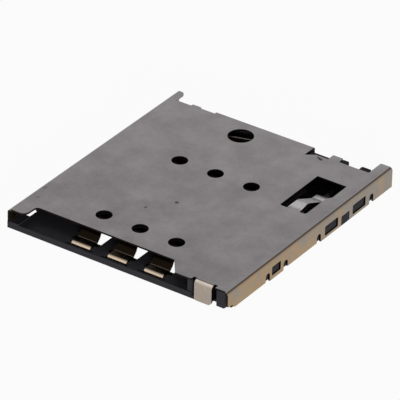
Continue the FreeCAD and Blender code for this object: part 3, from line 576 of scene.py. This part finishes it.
class SOCKET_OT_stage(bpy.types.Operator):
    """Camera, soft lights and the pale floor"""
    bl_idname = "socket.stage"
    bl_label = "Studio"

    def execute(self, context):
        scene = context.scene
        self.camera(scene)
        deselect()
        bpy.ops.mesh.primitive_plane_add(size=scene.socket_sizes.floor, location=(0, 0, 0))
        floor = context.object
        floor.name = "floor"
        floor.data.materials.append(studio_floor(scene.socket_colours.floor))
        floor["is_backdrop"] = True
        for name, (place, size, power) in LAMPS.items():
            self.softbox(scene, name, place, size, power)
        self.world(scene)
        scene.view_settings.view_transform = "Standard"
        return {"FINISHED"}

    def camera(self, scene):
        """The camera, turned and leant as the photograph's was."""
        view = scene.socket_camera
        azimuth, elevation = view.azimuth, view.elevation
        back = Vector((math.sin(azimuth) * math.cos(elevation), -math.cos(azimuth) * math.cos(elevation),
                       math.sin(elevation)))
        sideways = Vector((math.cos(azimuth), math.sin(azimuth), 0))
        upright = back.cross(sideways)
        across = sideways * math.cos(view.roll) + upright * math.sin(view.roll)
        up = upright * math.cos(view.roll) - sideways * math.sin(view.roll)
        camera_data = bpy.data.cameras.new("studio_camera")
        camera_data.lens = view.lens
        camera_data.clip_start = 0.01
        camera_data.clip_end = 10
        camera = bpy.data.objects.new("studio_camera", camera_data)
        turn = Matrix((across, up, back)).transposed().to_4x4()
        camera.matrix_world = Matrix.Translation(Vector(view.target) + back * view.distance) @ turn
        scene.collection.objects.link(camera)
        scene.camera = camera

    def softbox(self, scene, name, place, size, power):
        """A square lamp facing the socket, unseen in its metals."""
        data = bpy.data.lights.new(name, "AREA")
        data.size = size
        data.energy = power
        lamp = bpy.data.objects.new(name, data)
        lamp.location = place
        lamp.rotation_euler = (-Vector(place)).to_track_quat("-Z", "Y").to_euler()
        lamp.visible_glossy = False
        scene.collection.objects.link(lamp)

    def world(self, scene):
        """White surroundings for the camera and for reflections, softer ones for the light."""
        world = bpy.data.worlds.new("studio")
        world.use_nodes = True
        tree = world.node_tree
        tree.nodes.clear()
        path = add(tree, "ShaderNodeLightPath")
        seen = add(tree, "ShaderNodeMath", {"operation": "MAXIMUM"},
                   {0: (path, "Is Camera Ray"), 1: (path, "Is Glossy Ray")})
        seen = add(tree, "ShaderNodeMath", {"operation": "MAXIMUM"},
                   {0: (seen, "Value"), 1: (path, "Is Transmission Ray")})
        strength = add(tree, "ShaderNodeMapRange", (),
                       {"Value": (seen, "Value"), "To Min": SOFT_SKY, "To Max": 1.0})
        surroundings = add(tree, "ShaderNodeBackground", (),
                           {"Color": rgba(WHITE), "Strength": (strength, "Result")})
        add(tree, "ShaderNodeOutputWorld", (), {"Surface": (surroundings, "Background")})
        scene.world = world


class SOCKET_OT_shell(bpy.types.Operator):
    """The folded stainless shell"""
    bl_idname = "socket.shell"
    bl_label = "Shell"

    def execute(self, context):
        colours = context.scene.socket_colours
        sheet = dressed_copy("shell", "shell_sheet", "base", rolled_plate(colours),
                             self.press_tongue)
        for finish in (folded_wall, front_flange, tongue_painted_light, shaded_sheared_edge):
            sheet.data.materials.append(finish(colours))
        for face in sheet.data.polygons:
            face.material_index = self.finish(face.center / MM, face.normal)
        return {"FINISHED"}

    def finish(self, place, normal):
        """The material slot that a face takes, from where it is and where it looks."""
        # The cut slot's near-black finish is partly painted shade, on the sheet's edges, hole walls and
        # faces looking along y
        plate, wall, flange, tongue, cut = range(5)
        on_wall = abs(place.x) > WALL_LINE
        on_flange = place.y < FLANGE_LINE and FLANGE_LEFT < place.x < FLANGE_RIGHT
        on_tongue = (TONGUE_LEFT < place.x < TONGUE_RIGHT
                     and TONGUE_START < place.y < TONGUE_END + TIP_SLACK)
        on_rear = place.y > REAR_LINE and place.z < BELOW_PLATE
        if on_wall:
            side = place.z < BELOW_PLATE and abs(normal.x) < FACING
            return cut if side or abs(normal.y) > FACING else wall
        if on_tongue and abs(normal.x) < FACING:
            return cut if place.y > TONGUE_END - TIP_SLACK else tongue
        if on_flange and abs(normal.x) < FACING:
            return flange
        if abs(normal.x) > FACING:
            return plate if place.x < EAR_LINE and place.y > REAR_LINE else cut
        return cut if abs(normal.y) > FACING and not on_rear else plate

    def press_tongue(self, mesh):
        """Gives the tongue the narrower and longer form of the photograph: its left edge drawn in all
        along, its right edge more and more up to the bend, the flat part level, the foot further back."""
        for vertex in mesh.vertices:
            x, y, z = vertex.co / MM
            on_left = abs(x - TONGUE_LEFT) < CORNER_SLACK
            on_right = abs(x - TONGUE_RIGHT) < CORNER_SLACK
            within = TONGUE_ROOT - CORNER_SLACK < y < TONGUE_TIP + CORNER_SLACK
            if not within or not (on_left or on_right):
                continue
            flat = min(1.0, max(0.0, (y - TONGUE_ROOT) / (TONGUE_BEND - TONGUE_ROOT)))
            slope = min(1.0, max(0.0, (y - TONGUE_BEND) / (TONGUE_FOOT - TONGUE_BEND)))
            vertex.co.x += MM * (TONGUE_LEFT_DRAWN if on_left else -TONGUE_RIGHT_DRAWN * flat)
            vertex.co.y += MM * TONGUE_LONGER * slope
            vertex.co.z += MM * TONGUE_LIFT * (flat - slope)


class SOCKET_OT_mouldings(bpy.types.Operator):
    """The moulded base and the slider"""
    bl_idname = "socket.mouldings"
    bl_label = "Mouldings"

    def execute(self, context):
        colours = context.scene.socket_colours
        finish_node("housing", filled_plastic("glass_filled_lcp", colours.plastic, gloss=0.05))
        # The slider's plastic is blacker than the base as painted shade, for where it lies under the shell
        finish_node("slider", filled_plastic("glass_filled_lcp_painted_shade", colours.slider, gloss=0.03))
        return {"FINISHED"}


class SOCKET_OT_contacts(bpy.types.Operator):
    """The six gold-plated contact springs"""
    bl_idname = "socket.contacts"
    bl_label = "Contacts"

    def execute(self, context):
        gold = contact_gold(context.scene.socket_colours)
        for node in CONTACTS:
            dressed_copy(node, node + "_strip", "base", gold)
        return {"FINISHED"}


class SOCKET_OT_switch(bpy.types.Operator):
    """The card-detect switch and the follower link"""
    bl_idname = "socket.switch"
    bl_label = "Switch and link"

    def execute(self, context):
        colours = context.scene.socket_colours
        tin = matt_tin(colours)
        steel = drawn_steel("hardened_spring_steel", colours.steel, rough=(0.24, 0.38))
        dressed_copy("switch_leaf", "switch_leaf_strip", "base", tin)
        finish_node("switch_terminal", tin)
        finish_node("cam_follower", steel)
        return {"FINISHED"}


class SOCKET_OT_spring(bpy.types.Operator):
    """The ejection spring, wound from round wire"""
    bl_idname = "socket.spring"
    bl_label = "Ejection spring"

    def execute(self, context):
        scene = context.scene
        sizes = scene.socket_sizes
        low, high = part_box("eject_spring")
        centre_x, centre_z = (low.x + high.x) / 2, (low.z + high.z) / 2
        radius = (high.x - low.x) / 2 - sizes.wire / 2
        length = high.y - low.y - sizes.wire
        deselect()
        bpy.ops.mesh.primitive_circle_add(vertices=WIRE_SIDES, radius=sizes.wire / 2, fill_type="NOTHING",
                                          location=(radius, 0, 0), rotation=(math.pi / 2, 0, 0))
        coil = context.object
        coil.name = "eject_spring_coil"
        bpy.ops.object.transform_apply(location=True, rotation=True, scale=True)
        self.wind(coil, length, sizes.turns)
        stand = (Matrix.Translation((centre_x, low.y + sizes.wire / 2, centre_z))
                 @ Matrix.Rotation(-math.pi / 2, 4, "X"))
        coil.data.transform(stand)
        coil.data.materials.append(drawn_steel("music_wire", scene.socket_colours.steel,
                                               rough=(0.22, 0.34)))
        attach(coil, "base")
        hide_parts("eject_spring")
        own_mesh(coil)
        return {"FINISHED"}

    def wind(self, coil, length, turns):
        """Winds the wire's outline into a closed coil."""
        screw = coil.modifiers.new("winding", "SCREW")
        screw.axis = "Z"
        screw.screw_offset = length / turns
        screw.iterations = turns
        screw.steps = STEPS_A_TURN
        screw.render_steps = STEPS_A_TURN
        screw.use_merge_vertices = False
        bpy.ops.object.modifier_apply(modifier=screw.name)
        bpy.ops.object.mode_set(mode="EDIT")
        bpy.ops.mesh.select_all(action="SELECT")
        bpy.ops.mesh.remove_doubles(threshold=WIRE_MERGE_GAP)
        bpy.ops.mesh.select_all(action="DESELECT")
        bpy.ops.mesh.select_non_manifold()
        bpy.ops.mesh.edge_face_add()
        bpy.ops.mesh.select_all(action="SELECT")
        bpy.ops.mesh.normals_make_consistent(inside=False)
        bpy.ops.object.mode_set(mode="OBJECT")
        bpy.ops.object.shade_smooth_by_angle(angle=WIRE_ANGLE)


class SOCKET_PT_panel(bpy.types.Panel):
    """Lists the socket's pieces"""
    bl_label = "SIM card socket"
    bl_idname = "SOCKET_PT_panel"
    bl_space_type = "VIEW_3D"
    bl_region_type = "UI"
    bl_category = "Socket"

    def draw(self, context):
        layout = self.layout
        for operator in OPERATORS:
            layout.operator(operator.bl_idname)
        for group in ("socket_sizes", "socket_colours", "socket_camera"):
            values = getattr(context.scene, group)
            for name in values.bl_rna.properties.keys():
                if name not in ("name", "rna_type"):
                    layout.prop(values, name)


OPERATORS = (SOCKET_OT_stage, SOCKET_OT_shell, SOCKET_OT_mouldings, SOCKET_OT_contacts, SOCKET_OT_switch,
             SOCKET_OT_spring)
CLASSES = (SocketSizes, SocketColours, SocketCamera) + OPERATORS + (SOCKET_PT_panel,)


def register():
    for item in CLASSES:
        bpy.utils.register_class(item)
    bpy.types.Scene.socket_sizes = bpy.props.PointerProperty(type=SocketSizes)
    bpy.types.Scene.socket_colours = bpy.props.PointerProperty(type=SocketColours)
    bpy.types.Scene.socket_camera = bpy.props.PointerProperty(type=SocketCamera)


def unregister():
    for name in ("socket_sizes", "socket_colours", "socket_camera"):
        delattr(bpy.types.Scene, name)
    for item in reversed(CLASSES):
        bpy.utils.unregister_class(item)


def main():
    register()
    for operator in OPERATORS:
        group, name = operator.bl_idname.split(".")
        getattr(getattr(bpy.ops, group), name)()
    boxes = {"cad": CAD_BOX, "visual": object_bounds()}
    {key: [list(corner) for corner in value] for key, value in boxes.items()}


if __name__ == "__main__":
    main()
